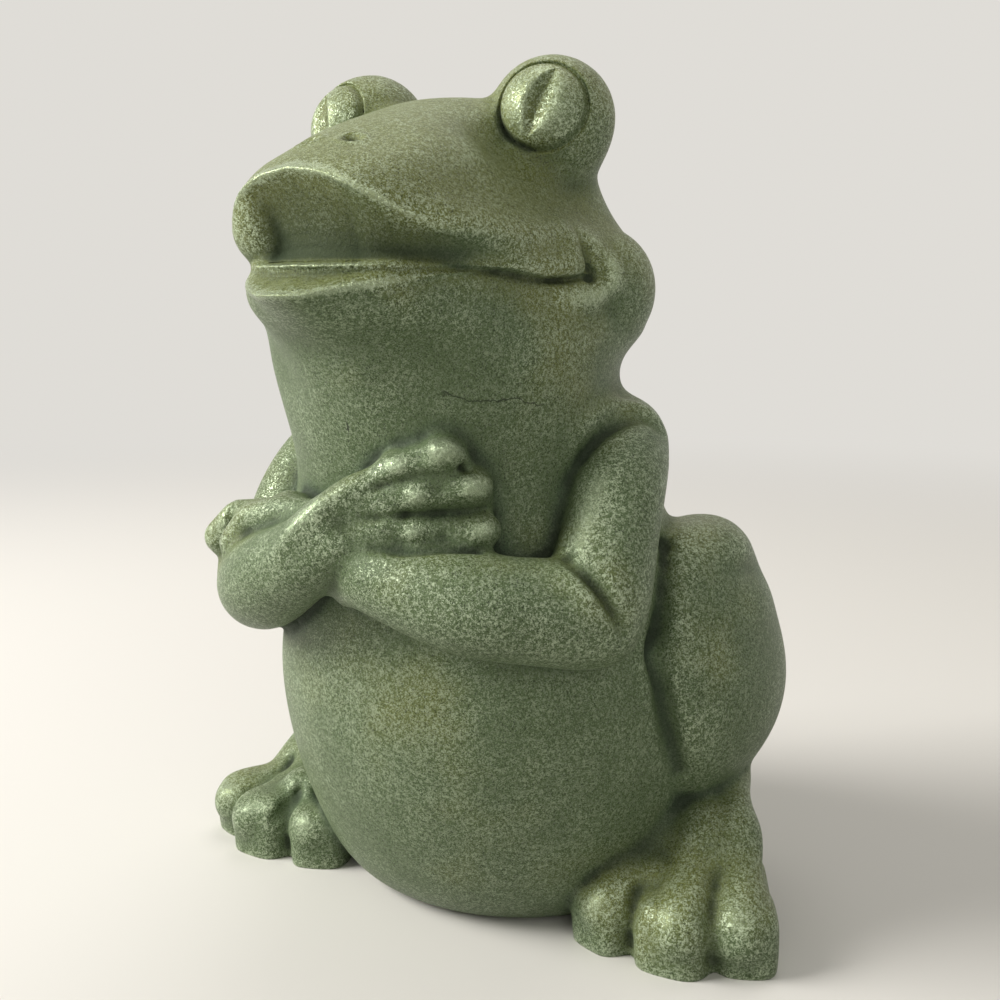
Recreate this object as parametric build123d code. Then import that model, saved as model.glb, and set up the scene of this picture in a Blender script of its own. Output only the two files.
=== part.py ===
from build123d import *
import os
from math import cos, hypot, radians, sin

# Frog figurine: a frog sitting upright with its arms crossed. Millimetres, +Z up.
# The frog faces -Y and its left side is +X. The origin is the middle of the flat underside of the belly.

# Body: belly, chest and neck
neck_height = 70.0
belly_reach = 38.3
back_reach = 27.3
belly_half_width = 32.0

# Throat, chin, lower lip and mouth: each rise is measured from the level below it
throat_rise = 6.0
throat_reach = 44.5
throat_half_width = 22.3
chin_rise = 4.0
chin_reach = 48.0
lip_rise = 3.8
lip_reach = 54.3
mouth_rise = 3.5
mouth_reach = 53.0
nape_reach = 4.5
jaw_half_width = 23.6
jaw_setback = 13.0
cheek_inset = 4.2
cheek_drop = 2.1
cheek_half_width = 6.0
cheek_half_length = 8.0
cheek_half_height = 7.5

# Head: upper lip, snout and crown
bill_rise = 3.7
bill_reach = 55.6
crown_rise = 18.4
head_half_width = 21.8
nostril_spacing = 12.0
nostril_radius = 0.9

# Eyes
eye_spacing = 27.6
eye_setback = 17.5
eye_drop = 3.6
eye_mound_radius = 7.7
eye_socket_radius = 5.7
eye_seat_depth = 0.8
eye_ring_gap = 0.4
eye_dome_rise = 2.2
pupil_half_width = 1.25
pupil_half_length = 3.6
pupil_depth = 1.1
eye_look = (0.28, -0.95, 0.17)
pupil_lean = 24.0

# Arms. A place on the body is given by its turn from the front in degrees, its height
# and how far it stands out of the body's skin. The two forearms are posed by themselves, as the arms cross.
arm_places = ((103.8, 66.4, -0.5), (76.2, 61.5, 1.9), (61.7, 54.5, 3.9))
left_forearm_places = ((52.8, 46.8, 4.6), (34.3, 48.4, 4.9), (19.6, 50.0, 4.7), (4.9, 52.0, 3.7), (-13.6, 56.0, 2.2))
right_forearm_places = ((-48.4, 45.6, 3.2), (-32.5, 47.6, 4.8), (-18.2, 50.8, 5.9), (-7.3, 54.4, 5.8), (0.0, 57.6, 4.6))
shoulder_half_width = 5.6
upper_arm_half_width = 6.0
elbow_half_width = 6.4
wrist_half_width = 4.8
wrist_half_thickness = 4.2

# Hands
left_palm_place = (-30.2, 56.5, 2.7)
right_palm_place = (8.6, 58.8, 3.4)
palm_half_width = 5.8
palm_half_thickness = 3.2
finger_half_width = 2.2
knuckle_half_width = 2.6
right_finger_places = (
    ((3.1, 61.4, 2.5), (13.2, 64.0, 2.0), (27.2, 66.2, 1.6)),
    ((6.4, 60.0, 2.9), (18.1, 61.8, 2.1), (30.3, 62.6, 1.6)),
    ((7.4, 57.4, 3.2), (19.3, 56.9, 2.2), (29.7, 56.9, 1.6)),
)
left_finger_places = (
    ((-30.7, 55.5, 3.0), (-43.5, 53.6, 5.6), (-46.0, 49.8, 6.9)),
    ((-34.7, 56.5, 3.0), (-52.5, 53.6, 7.2), (-55.6, 49.6, 9.0)),
)

# Legs: haunches and feet
haunch_turn = 104.8
haunch_middle_height = 35.0
haunch_stand_out = -0.3
haunch_half_width = 9.3
haunch_half_length = 17.0
haunch_half_height = 18.6
ankle_outset = 2.8
ankle_advance = 1.8
ankle_overlap = 1.4
ankle_half_width = 4.2
ankle_half_length = 5.0
toe_outsets = (-8.1, 2.2, 9.0)
toe_advances = (18.4, 19.6, 16.0)
toe_height = 4.4
toe_half_width = 3.5
toe_bulb_half_width = 4.3
toe_bulb_half_height = 5.2
web_half_width = 8.0
web_half_height = 4.5

# Level outlines of the trunk: height, front reach, back reach and half width,
# as shares of neck_height, belly_reach, back_reach and belly_half_width
trunk_shares = (
    (0.000, 0.590, 0.824, 0.703),
    (0.021, 0.668, 0.900, 0.790),
    (0.136, 0.817, 1.000, 0.916),
    (0.243, 0.900, 1.007, 0.969),
    (0.371, 0.966, 0.989, 1.000),
    (0.514, 1.000, 0.868, 0.969),
    (0.657, 0.992, 0.696, 0.875),
    (0.771, 0.992, 0.549, 0.812),
    (0.857, 1.005, 0.458, 0.750),
    (0.943, 1.050, 0.300, 0.703),
)

# Level outlines of the head: height, front reach, back reach and half width, as shares of
# crown_rise, bill_reach, nape_reach and head_half_width, then the widest place as a share of jaw_setback
# and the fullness of the front curve
head_shares = (
    (0.000, 1.000, 0.90, 1.000, 1.00, 1.75),
    (0.190, 0.975, 0.75, 0.853, 1.00, 2.20),
    (0.353, 0.933, 0.60, 0.770, 1.00, 2.30),
    (0.489, 0.859, 0.35, 0.734, 1.00, 2.30),
    (0.625, 0.770, -0.10, 0.688, 1.00, 2.20),
    (0.777, 0.643, -0.90, 0.596, 1.08, 2.00),
    (0.897, 0.521, -1.80, 0.459, 1.20, 2.00),
    (0.973, 0.410, -2.65, 0.250, 1.35, 2.00),
    (1.000, 0.350, -3.30, 0.090, 1.35, 2.00),
)
nostril_height_share = 0.58
round_fullness_share = 2.0
chin_fullness_share = 1.9
lip_fullness_share = 1.55
outline_count = 16

# Forearm: how far each place has narrowed from elbow to wrist
forearm_shares = (0.00, 0.10, 0.45, 0.85, 1.00)

# Rounded limb ends: how far out each end outline stands and how wide it stays, as shares of the half width
end_shares = ((0.50, 0.866), (0.84, 0.543), (0.97, 0.243))

# Toe: place along the toe, rise over the straight line as a share of the ankle's height,
# and how far the outline has grown from toe to bulb
toe_shares = ((0.00, 0.00, 0.35), (0.35, 0.10, 0.05), (0.68, 0.07, 0.00), (0.88, 0.04, 0.75), (1.00, 0.00, 1.00))
web_place_share = 0.55
wrist_overlap_share = 0.3

# Haunch: height over its middle, half width, half length, sideways shift and forward shift,
# as shares of its half height, half width and half length
haunch_shares = (
    (-0.97, 0.40, 0.40, 0.00, 0.18),
    (-0.70, 0.80, 0.76, 0.01, 0.08),
    (-0.05, 1.00, 1.00, 0.02, 0.00),
    (0.50, 0.78, 0.84, -0.08, 0.02),
    (0.85, 0.60, 0.60, -0.16, 0.03),
    (1.03, 0.18, 0.20, -0.34, 0.04),
)

# Levels that follow from the rises
throat_height = neck_height + throat_rise
chin_height = throat_height + chin_rise
lip_height = chin_height + lip_rise
mouth_height = lip_height + mouth_rise
bill_height = mouth_height + bill_rise
crown_height = bill_height + crown_rise
work_width = (belly_half_width + belly_reach) * 4


def mirrored(point):
    return (-point[0], point[1], point[2])


def between(start, end, share):
    return tuple(a + (b - a) * share for a, b in zip(start, end))


def trunk_levels():
    """Height, front reach, back reach and half width of the body up to the throat."""
    levels = []
    for height, front, back, half in trunk_shares:
        levels.append((height * neck_height, front * belly_reach, back * back_reach, half * belly_half_width))
    levels.append((throat_height, throat_reach, nape_reach, throat_half_width))
    return levels


def on_body(place):
    """Point at a turn from the front, a height, and a distance out of the body's skin."""
    turn, height, out = place
    levels = trunk_levels()
    lower, upper = levels[0], levels[-1]
    for first, second in zip(levels[:-1], levels[1:]):
        if first[0] <= height <= second[0]:
            lower, upper = first, second
    share = min(max((height - lower[0]) / (upper[0] - lower[0]), 0.0), 1.0)
    front, back, half = between(lower[1:], upper[1:], share)
    middle, half_length = (back - front) / 2, (front + back) / 2
    x = (half + out) * sin(radians(turn))
    y = middle - (half_length + out) * cos(radians(turn))
    return (x, y, height)


def level_outline(height, front, back, half_width, setback, fullness):
    """Closed level outline: a round back and a front drawn to a fuller or more pointed tip."""
    points = []
    for step in range(outline_count):
        turn = radians(360.0 * step / outline_count)
        across, along = cos(turn), sin(turn)
        if along < 0:
            power = 2.0 / fullness
            x = abs(across) ** power * half_width
            y = -setback - abs(along) ** power * (front - setback)
        else:
            x = abs(across) * half_width
            y = -setback + along * (back + setback)
        points.append((x if across > 0 else -x, y, height))
    places = [step / outline_count for step in range(outline_count + 1)]
    return Face(Wire(Edge.make_spline(points, periodic=True, parameters=places)))


def limb(stations, side, round_start=True, round_end=True):
    """Smooth limb through oval stations (centre, half side, half other), with rounded ends."""
    centres = [Vector(*station[0]) for station in stations]
    last = len(stations) - 1
    rows = []
    for index, (place, half_side, half_other) in enumerate(stations):
        along = (centres[min(index + 1, last)] - centres[max(index - 1, 0)]).normalized()
        rows.append((centres[index], along, half_side, half_other))
    start_row, end_row = rows[0], rows[-1]
    for out_share, wide_share in end_shares:
        if round_start:
            rows.insert(0, end_outline(start_row, -out_share, wide_share))
        if round_end:
            rows.append(end_outline(end_row, out_share, wide_share))
    faces = []
    for centre, along, half_side, half_other in rows:
        across = Vector(*side) - along * Vector(*side).dot(along)
        faces.append(Plane(origin=centre, x_dir=across, z_dir=along) * Ellipse(half_side, half_other))
    return loft(faces)


def end_outline(row, out_share, wide_share):
    centre, along, half_side, half_other = row
    reach = min(half_side, half_other) * out_share
    return (centre + along * reach, along, half_side * wide_share, half_other * wide_share)


def ellipsoid(half_sizes):
    return scale(Sphere(1), by=half_sizes)


def make_body():
    faces = []
    for height, front, back, half in trunk_levels():
        faces.append(level_outline(height, front, back, half, (front - back) / 2, round_fullness_share))
    faces.append(level_outline(chin_height, chin_reach, nape_reach, jaw_half_width, jaw_setback, chin_fullness_share))
    faces.append(level_outline(lip_height, lip_reach, nape_reach, jaw_half_width, jaw_setback, lip_fullness_share))
    faces.append(mouth_outline())
    return loft(faces)


def mouth_outline():
    return level_outline(mouth_height, mouth_reach, nape_reach, jaw_half_width, jaw_setback, lip_fullness_share)


def make_skull():
    faces = [mouth_outline()]
    for height, front, back, half, setback, fullness in head_shares:
        faces.append(level_outline(bill_height + height * crown_rise, front * bill_reach, back * nape_reach,
                                   half * head_half_width, setback * jaw_setback, fullness))
    return loft(faces)


def make_cheek(sign):
    place = (sign * (jaw_half_width - cheek_inset), -jaw_setback, mouth_height - cheek_drop)
    return Pos(*place) * ellipsoid((cheek_half_width, cheek_half_length, cheek_half_height))


def nostril_place(sign):
    """A point on the snout's skin, found on the level outline at the nostrils' height."""
    for lower, upper in zip(head_shares[:-1], head_shares[1:]):
        if lower[0] <= nostril_height_share <= upper[0]:
            break
    row = between(lower, upper, (nostril_height_share - lower[0]) / (upper[0] - lower[0]))
    half, setback, fullness = row[3] * head_half_width, row[4] * jaw_setback, row[5]
    x = nostril_spacing / 2
    y = -setback - (row[1] * bill_reach - setback) * (1 - (x / half) ** fullness) ** (1 / fullness)
    return (sign * x, y, bill_height + nostril_height_share * crown_rise)


def eye_plane(sign):
    """Plane at the middle of an eye mound, looking out of the eye, turned so its up leans outward."""
    along = Vector(sign * eye_look[0], eye_look[1], eye_look[2]).normalized()
    across = Vector(0, 0, 1).cross(along).normalized()
    up = along.cross(across)
    lean = radians(sign * pupil_lean)
    place = (sign * eye_spacing / 2, -eye_setback, crown_height - eye_drop)
    return Plane(origin=place, x_dir=across * cos(lean) - up * sin(lean), z_dir=along)


def socket_levels():
    """Distance of the socket's rim and floor from the middle of the eye mound."""
    rim = (eye_mound_radius ** 2 - eye_socket_radius ** 2) ** 0.5
    return rim, rim - eye_seat_depth


def make_eye(sign):
    rim, floor = socket_levels()
    radius = eye_socket_radius - eye_ring_gap
    ball = (radius ** 2 + eye_dome_rise ** 2) / (2 * eye_dome_rise)
    rod = Cylinder(radius, ball * 2, align=(Align.CENTER, Align.CENTER, Align.MIN))
    dome = (Pos(0, 0, rim + eye_dome_rise - ball) * Sphere(ball)) & (Pos(0, 0, floor) * rod)
    pupil = Pos(0, 0, rim + eye_dome_rise) * ellipsoid((pupil_half_width, pupil_half_length, pupil_depth))
    return eye_plane(sign) * (dome - pupil)


def make_socket(sign):
    rod = Cylinder(eye_socket_radius, eye_mound_radius * 2, align=(Align.CENTER, Align.CENTER, Align.MIN))
    return eye_plane(sign) * Pos(0, 0, socket_levels()[1]) * rod


def make_head():
    head = make_skull()
    for sign in (1, -1):
        head = head + Pos(*eye_plane(sign).origin) * Sphere(eye_mound_radius)
    for sign in (1, -1):
        head = head - make_cheek(sign) - make_socket(sign)
        head = head - Pos(*nostril_place(sign)) * Sphere(nostril_radius)
    return head


def arm_line(sign, elbow):
    """Shoulder to elbow: the points an upper arm passes through."""
    return [on_body((sign * turn, height, out)) for turn, height, out in arm_places] + [elbow]


def forearm_line(places):
    return [on_body(place) for place in places]


def crease_plane(upper_line, lower_line):
    """Plane of the elbow crease: it halves the bend between the upper arm and the forearm."""
    elbow = Vector(*lower_line[0])
    down = (elbow - Vector(*upper_line[-2])).normalized()
    away = (Vector(*lower_line[1]) - elbow).normalized()
    return Plane(origin=elbow, z_dir=down + away)


def make_upper_arm(line, crease):
    halves = (shoulder_half_width, upper_arm_half_width, upper_arm_half_width, elbow_half_width)
    stations = [(place, half, half) for place, half in zip(line, halves)]
    return split(limb(stations, (0, 1, 0)), bisect_by=crease, keep=Keep.BOTTOM)


def make_forearm(line, crease):
    stations = []
    for place, share in zip(line, forearm_shares):
        half = elbow_half_width + share * (wrist_half_width - elbow_half_width)
        thick = elbow_half_width + share * (wrist_half_thickness - elbow_half_width)
        stations.append((place, half, thick))
    return split(limb(stations, (0, 0, 1), round_end=False), bisect_by=crease, keep=Keep.TOP)


def make_hand(line, palm_place, finger_places):
    wrist, palm = line[-1], on_body(palm_place)
    back = between(wrist, palm, -wrist_overlap_share)
    hand = limb([(back, wrist_half_width, wrist_half_thickness), (palm, palm_half_width, palm_half_thickness)],
                (0, 0, 1), round_start=False)
    for places in finger_places:
        points = [Vector(*on_body(place)) for place in places]
        for start, end in zip(points[:-1], points[1:]):
            bone = Cylinder(finger_half_width, (end - start).length, align=(Align.CENTER, Align.CENTER, Align.MIN))
            hand = hand + Plane(origin=start, z_dir=end - start) * bone
            hand = hand + Pos(*end) * Sphere(knuckle_half_width)
    along = Vector(*wrist) - Vector(*line[-2])
    return split(hand, bisect_by=Plane(origin=wrist, z_dir=along), keep=Keep.TOP)


def haunch_middle():
    return on_body((haunch_turn, haunch_middle_height, haunch_stand_out))


def make_haunch(sign):
    x, y, z = haunch_middle()
    faces = []
    for up, wide, long, sideways, forward in haunch_shares:
        place = (sign * (x + sideways * haunch_half_width), y - forward * haunch_half_length, z + up * haunch_half_height)
        faces.append(Plane(origin=place) * Ellipse(wide * haunch_half_width, long * haunch_half_length))
    return loft(faces)


def make_foot(sign):
    x, y, z = haunch_middle()
    ankle_height = z + haunch_shares[0][0] * haunch_half_height + ankle_overlap
    ankle = (sign * (x + ankle_outset), y - ankle_advance, ankle_height)
    foot = None
    for outset, advance in zip(toe_outsets, toe_advances):
        tip = (ankle[0] + sign * outset, ankle[1] - advance, toe_height)
        stations = []
        for along, rise, growth in toe_shares:
            centre = between(ankle, tip, along)
            wide = toe_half_width + growth * (toe_bulb_half_width - toe_half_width)
            tall = toe_half_width + growth * (toe_bulb_half_height - toe_half_width)
            stations.append(((centre[0], centre[1], centre[2] + rise * ankle_height), wide, tall))
        toe = limb(stations, (1, 0, 0))
        foot = toe if foot is None else foot + toe
    middle_tip = (ankle[0] + sign * toe_outsets[1], ankle[1] - toe_advances[1], toe_height)
    web_end = between(ankle, middle_tip, web_place_share)
    foot = foot + limb([(ankle, ankle_half_width, ankle_half_length), (web_end, web_half_width, web_half_height)],
                       (1, 0, 0))
    return foot & slab(mouth_height)


def slab(height):
    """Everything between the ground and a height."""
    return Box(work_width, work_width, height, align=(Align.CENTER, Align.CENTER, Align.MIN))


def apart(first, second):
    """True where the boxes round two pieces do not meet, so no cut is needed."""
    one, two = first.bounding_box(), second.bounding_box()
    for axis in ("X", "Y", "Z"):
        if getattr(one.min, axis) > getattr(two.max, axis) or getattr(two.min, axis) > getattr(one.max, axis):
            return True
    return False


def cut_by(shape, others):
    for other in others:
        if not apart(shape, other):
            shape = shape - other
    return shape


def make_pieces():
    body = make_body()
    pieces = {
        "torso": body & slab(neck_height),
        "lower_jaw": (body - slab(neck_height)) + make_cheek(1) + make_cheek(-1),
        "head": make_head(),
        "left_eye": make_eye(1),
        "right_eye": make_eye(-1),
    }
    left_line, right_line = forearm_line(left_forearm_places), forearm_line(right_forearm_places)
    left_arm, right_arm = arm_line(1, left_line[0]), arm_line(-1, right_line[0])
    left_crease, right_crease = crease_plane(left_arm, left_line), crease_plane(right_arm, right_line)
    # Each limb with the piece it already meets along a plane, which needs no cut
    limbs = [
        ("left_haunch", make_haunch(1), None),
        ("right_haunch", make_haunch(-1), None),
        ("left_foot", make_foot(1), None),
        ("right_foot", make_foot(-1), None),
        ("left_forearm", make_forearm(left_line, left_crease), None),
        ("right_forearm", make_forearm(right_line, right_crease), None),
        ("left_upper_arm", make_upper_arm(left_arm, left_crease), "left_forearm"),
        ("right_upper_arm", make_upper_arm(right_arm, right_crease), "right_forearm"),
        ("right_hand", make_hand(right_line, right_palm_place, right_finger_places), "right_forearm"),
        ("left_hand", make_hand(left_line, left_palm_place, left_finger_places), "left_forearm"),
    ]
    for name, shape, joined in limbs:
        pieces[name] = cut_by(shape, [piece for other, piece in pieces.items() if other != joined])
    return pieces


os.makedirs("parts", exist_ok=True)
for name, shape in make_pieces().items():
    print(name, [round(solid.volume, 2) for solid in shape.solids()])
    export_step(shape, f"parts/{name}.step")
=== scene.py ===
from math import cos, radians, sin

import bmesh
import bpy
import numpy as np
from bpy.props import (FloatProperty, FloatVectorProperty, IntProperty,
                       PointerProperty)
from mathutils import Matrix, Vector
from mathutils.bvhtree import BVHTree
from mathutils.kdtree import KDTree


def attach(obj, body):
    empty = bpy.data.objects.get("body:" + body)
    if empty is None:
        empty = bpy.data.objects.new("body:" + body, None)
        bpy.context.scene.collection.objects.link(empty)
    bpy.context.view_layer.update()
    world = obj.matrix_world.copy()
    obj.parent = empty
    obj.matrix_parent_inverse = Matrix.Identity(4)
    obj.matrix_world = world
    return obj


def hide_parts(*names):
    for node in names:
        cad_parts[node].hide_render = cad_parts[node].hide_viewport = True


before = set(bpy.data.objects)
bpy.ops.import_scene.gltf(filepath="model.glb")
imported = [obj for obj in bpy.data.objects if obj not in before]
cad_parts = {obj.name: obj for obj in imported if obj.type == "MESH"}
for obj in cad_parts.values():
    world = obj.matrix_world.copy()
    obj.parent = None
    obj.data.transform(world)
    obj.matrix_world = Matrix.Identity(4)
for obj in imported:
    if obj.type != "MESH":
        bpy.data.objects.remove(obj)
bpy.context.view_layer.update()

bl_info = {
    "name": "Cast frog figurine",
    "version": (1, 0, 0),
    "blender": (4, 5, 0),
    "location": "View3D > Sidebar > Frog",
    "description": "Dresses the packed frog as one cast stone figure with a rubbed green patina",
    "category": "Object",
}

MM = 0.001
BODY = "root"
BOTH = (1, -1)
SKINS = tuple(sorted(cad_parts))
EYE_MIDDLE = (13.8, -17.5, 105.8)
EYE_LOOK = (0.28, -0.95, 0.17)
EYE_ROUND = 7.5
EYE_RING = 5.3
EYE_MOUND = 7.0
EYE_FILLET = 1.1
EYE_BALL_RISE = 2.2
PUPIL_HALF_WIDTH = 1.9
PUPIL_HALF_LENGTH = 4.4
PUPIL_LEAN = radians(20)
NOSTRIL = (3.0, -44.4, 101.5)
LIP_CENTRE = -30
SHELL = 0.0005
EVEN_GRAIN = 0.00045
SMALLEST_PATCH = 250
CORES = {"torso": (0.0, -4.0, 38.0), "head": (0.0, -22.0, 96.0), "lower_jaw": (0.0, -16.0, 80.0)}
CASTING = "casting"
LAMPS = (
    ("window", (-0.60, -0.48, 0.52), 0.42, 10.6, (1.0, 0.98, 0.95)),
    ("fill", (0.62, -0.62, 0.46), 0.6, 1.2, (1.0, 0.98, 0.94)),
    ("top", (-0.05, 0.30, 0.85), 0.6, 1.9, (1.0, 0.98, 0.92)),
)
LAMP_AIM = (0, -0.01, 0.055)
CAMERA_PLACE = (0.0854, -0.1549, 0.0834)
CAMERA_TURN = (radians(80.72), 0, radians(29.92))


class FrogShape(bpy.types.PropertyGroup):
    """Sizes of the casting, in millimetres where a length isn't in metres."""
    grain: FloatProperty(
        name="Mesh grain", description="Side of the casting's mesh squares",
        default=0.00055, min=0.0003, max=0.001, unit="LENGTH", precision=5)
    soften: IntProperty(
        name="Softening", description="Passes that round the creases between the pieces",
        default=7, min=0, max=80)
    hollow: FloatProperty(
        name="Lip hollow", description="Depth of the hollow under the upper lip, in mm",
        default=3.0, min=0, max=4)
    dome_rise: FloatProperty(
        name="Eye rise", description="How far the eye's dome stands above its rim, in mm",
        default=2.95, min=0.5, max=4)
    pupil_depth: FloatProperty(
        name="Pupil depth", description="Depth of the pupil's groove, in mm",
        default=1.15, min=0, max=2)


class FrogFinish(bpy.types.PropertyGroup):
    """Colours of the patina; moss, soot and silver are also laid as painted light, shade and highlights."""
    sage: FloatVectorProperty(
        name="Sage", description="Main green of the casting", subtype="COLOR",
        default=(0.110, 0.160, 0.070), min=0, max=1)
    # Moss is laid more on upward faces, as painted light from above.
    moss_and_top_light: FloatVectorProperty(
        name="Moss", description="Yellow green of the upper faces", subtype="COLOR",
        default=(0.160, 0.186, 0.052), min=0, max=1)
    teal: FloatVectorProperty(
        name="Teal", description="Blue green left in the hollows", subtype="COLOR",
        default=(0.062, 0.128, 0.082), min=0, max=1)
    # Soot darkens the specks and cracks, and is also painted as shade in creases and under the lips.
    soot_and_painted_shade: FloatVectorProperty(
        name="Soot", description="Dark wash that stays in creases", subtype="COLOR",
        default=(0.016, 0.024, 0.011), min=0, max=1)
    # Silver is rubbed metal on proud places, and is also painted as highlights where the casting is marked
    # polished.
    silver_and_highlight: FloatVectorProperty(
        name="Silver", description="Pale rubbed metal tint on edges", subtype="COLOR",
        default=(0.450, 0.530, 0.360), min=0, max=1)


class FrogStage(bpy.types.PropertyGroup):
    """Floor, light and camera."""
    floor: FloatVectorProperty(
        name="Floor", description="Colour of the floor", subtype="COLOR",
        default=(0.78, 0.76, 0.72), min=0, max=1)
    wall: FloatVectorProperty(
        name="Wall", description="Colour of the room behind", subtype="COLOR",
        default=(0.74, 0.72, 0.68), min=0, max=1)
    room: FloatProperty(
        name="Room light", description="Strength of the light from all round", default=0.26, min=0, max=2)
    lens: FloatProperty(
        name="Lens", description="Focal length of the camera in mm", default=43.2, min=10, max=200)


def flowing(points, count=48):
    """A smooth line through the given places."""
    p = np.array(points, float)
    if len(p) == 2:
        t = np.linspace(0, 1, count)[:, None]
        return p[0] * (1 - t) + p[1] * t
    p = np.vstack([2 * p[0] - p[1], p, 2 * p[-1] - p[-2]])
    runs = len(p) - 3
    s = np.linspace(0, runs, count)
    i = np.minimum(s.astype(int), runs - 1)
    t = (s - i)[:, None]
    a, b, c, d = p[i], p[i + 1], p[i + 2], p[i + 3]
    return 0.5 * (2 * b + (c - a) * t + (2 * a - 5 * b + 4 * c - d) * t ** 2
                  + (3 * b - a - 3 * c + d) * t ** 3)


def ease(t):
    """A soft step from 0 to 1."""
    t = np.clip(t, 0, 1)
    return t * t * (3 - 2 * t)


class Clay:
    """A mesh's points in millimetres, with the moves that a modeller makes on them."""

    def __init__(self, mesh):
        self.mesh = mesh
        count = len(mesh.vertices)
        flat = np.empty(count * 3, np.float32)
        mesh.vertices.foreach_get("co", flat)
        self.co = flat.reshape(-1, 3).astype(float) / MM
        pairs = np.empty(len(mesh.edges) * 2, np.int32)
        mesh.edges.foreach_get("vertices", pairs)
        pairs = pairs.reshape(-1, 2)
        near = np.concatenate([pairs[:, 0], pairs[:, 1]])
        order = np.argsort(near, kind="stable")
        near, far = near[order], np.concatenate([pairs[:, 1], pairs[:, 0]])[order]
        self.degree = np.bincount(near, minlength=count)
        first = np.concatenate([[0], np.cumsum(self.degree)[:-1]])
        self.around = np.full((count, self.degree.max()), count)
        self.around[near, np.arange(len(near)) - first[near]] = far
        # Painted shade under the lips.
        self.painted_shade = np.zeros(count)
        # Rubbed metal marks that also paint highlights.
        self.rub_and_highlight = np.zeros(count)
        self.settle()

    def settle(self):
        """Writes the points back to the mesh and reads its normals again."""
        self.mesh.vertices.foreach_set("co", (self.co * MM).astype(np.float32).ravel())
        self.mesh.update()
        flat = np.empty(self.co.size, np.float32)
        self.mesh.vertex_normals.foreach_get("vector", flat)
        self.normal = flat.reshape(-1, 3).astype(float)

    def mean(self, field, pick=slice(None)):
        """The mean of each point's neighbours."""
        padded = np.concatenate([field, np.zeros_like(field[:1])])
        around, degree = self.around[pick], np.maximum(self.degree[pick], 1)
        total = sum(padded[around[:, k]] for k in range(around.shape[1]))
        return total / (degree if field.ndim == 1 else degree[:, None])

    def relax(self, passes, where=None, share=0.5):
        """Smooths the points, all of them or by a weight."""
        pick, weight = slice(None), share
        if where is not None:
            pick = np.flatnonzero(where > 0.002)
            weight = share * where[pick, None]
        for _ in range(passes):
            self.co[pick] += weight * (self.mean(self.co, pick) - self.co[pick])

    def ball(self, centre, reach):
        """A weight that fades from a place to nothing at its reach."""
        away = np.linalg.norm((self.co - centre) / np.array(reach, float), axis=1)
        return 1 - ease(away)

    def polish_and_highlight(self, centre, reach, share, sides=(1,)):
        """Marks a place as rubbed bright, a painted highlight as well as rubbed metal."""
        for side in sides:
            spot = share * self.ball(np.array(centre) * (side, 1, 1), reach)
            self.rub_and_highlight = np.maximum(self.rub_and_highlight, spot)

    def polish_and_highlight_line(self, points, width, share, sides=(1,)):
        """Marks a line on the surface as rubbed bright, a painted highlight as well as rubbed metal."""
        for side in sides:
            pick, away, _ = self.along(flowing(np.array(points, float) * (side, 1, 1)), 2.4 * width)
            self.rub_and_highlight[pick] = np.maximum(self.rub_and_highlight[pick], share * np.exp(-(away / width) ** 2))

    def along(self, line, reach):
        """The points within reach of a line: their numbers, distances and shares of its length."""
        low, high = line.min(0) - reach, line.max(0) + reach
        pick = np.flatnonzero(((self.co > low) & (self.co < high)).all(1))
        p = self.co[pick]
        best = np.full(len(pick), 1e9)
        share = np.zeros(len(pick))
        runs = np.linalg.norm(np.diff(line, axis=0), axis=1)
        start = np.concatenate([[0], np.cumsum(runs)])
        for k in range(len(line) - 1):
            run = line[k + 1] - line[k]
            t = np.clip((p - line[k]) @ run / max(run @ run, 1e-12), 0, 1)
            d = np.linalg.norm(p - line[k] - t[:, None] * run, axis=1)
            closer = d < best
            best[closer] = d[closer]
            share[closer] = (start[k] + t[closer] * runs[k]) / start[-1]
        keep = best < reach
        return pick[keep], best[keep], share[keep]

    def bead(self, points, height, width, sides=(1,), squeeze=2.0):
        """Raises a bead along a line on the surface, or presses a groove where the height is negative."""
        heights = np.atleast_1d(np.array(height, float))
        for side in sides:
            line = flowing(np.array(points, float) * (side, 1, 1))
            pick, away, share = self.along(line, 2.6 * width)
            rise = np.interp(share, np.linspace(0, 1, len(heights)), heights)
            rise = rise * np.exp(-(away / width) ** squeeze)
            self.co[pick] += self.normal[pick] * rise[:, None]

    def lump(self, centre, height, width, sides=(1,)):
        """Raises a round lump, or presses a dent where the height is negative."""
        for side in sides:
            spoke = self.co - np.array(centre) * (side, 1, 1)
            away = np.linalg.norm(spoke / np.array(width, float), axis=1)
            pick = np.flatnonzero(away < 2.6)
            self.co[pick] += self.normal[pick] * (height * np.exp(-away[pick] ** 2))[:, None]


def lower_left_wrist(place):
    """The left wrist and palm lie lower under the right hand."""
    x, y, z = place / MM
    drop = 2.2 * float(ease((z - 54.5) / 5)) * float(ease((-1.0 - x) / 5))
    return Vector((x, y, z - drop)) * MM


def tuck_right_arm(place):
    """The right upper arm lies close to the side of the chest."""
    x, y, z = place / MM
    share = float(ease((74 - z) / 8)) * float(ease((z - 44) / 8))
    return Vector((x + 2.2 * share, y + 2.6 * share, z)) * MM


def flatten_right_foot(place):
    """The right foot lies low, so that its toes run far back."""
    x, y, z = place / MM
    away = ((abs(x) - 33) ** 2 + y ** 2) ** 0.5
    cap = 8.0 + 1.2 * max(0.0, 13 - away)
    return Vector((x, y, min(z, cap + 0.2 * (z - cap)))) * MM


RESHAPED = {"left_hand": lower_left_wrist, "left_forearm": lower_left_wrist,
            "right_upper_arm": tuck_right_arm, "right_foot": flatten_right_foot}


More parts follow.
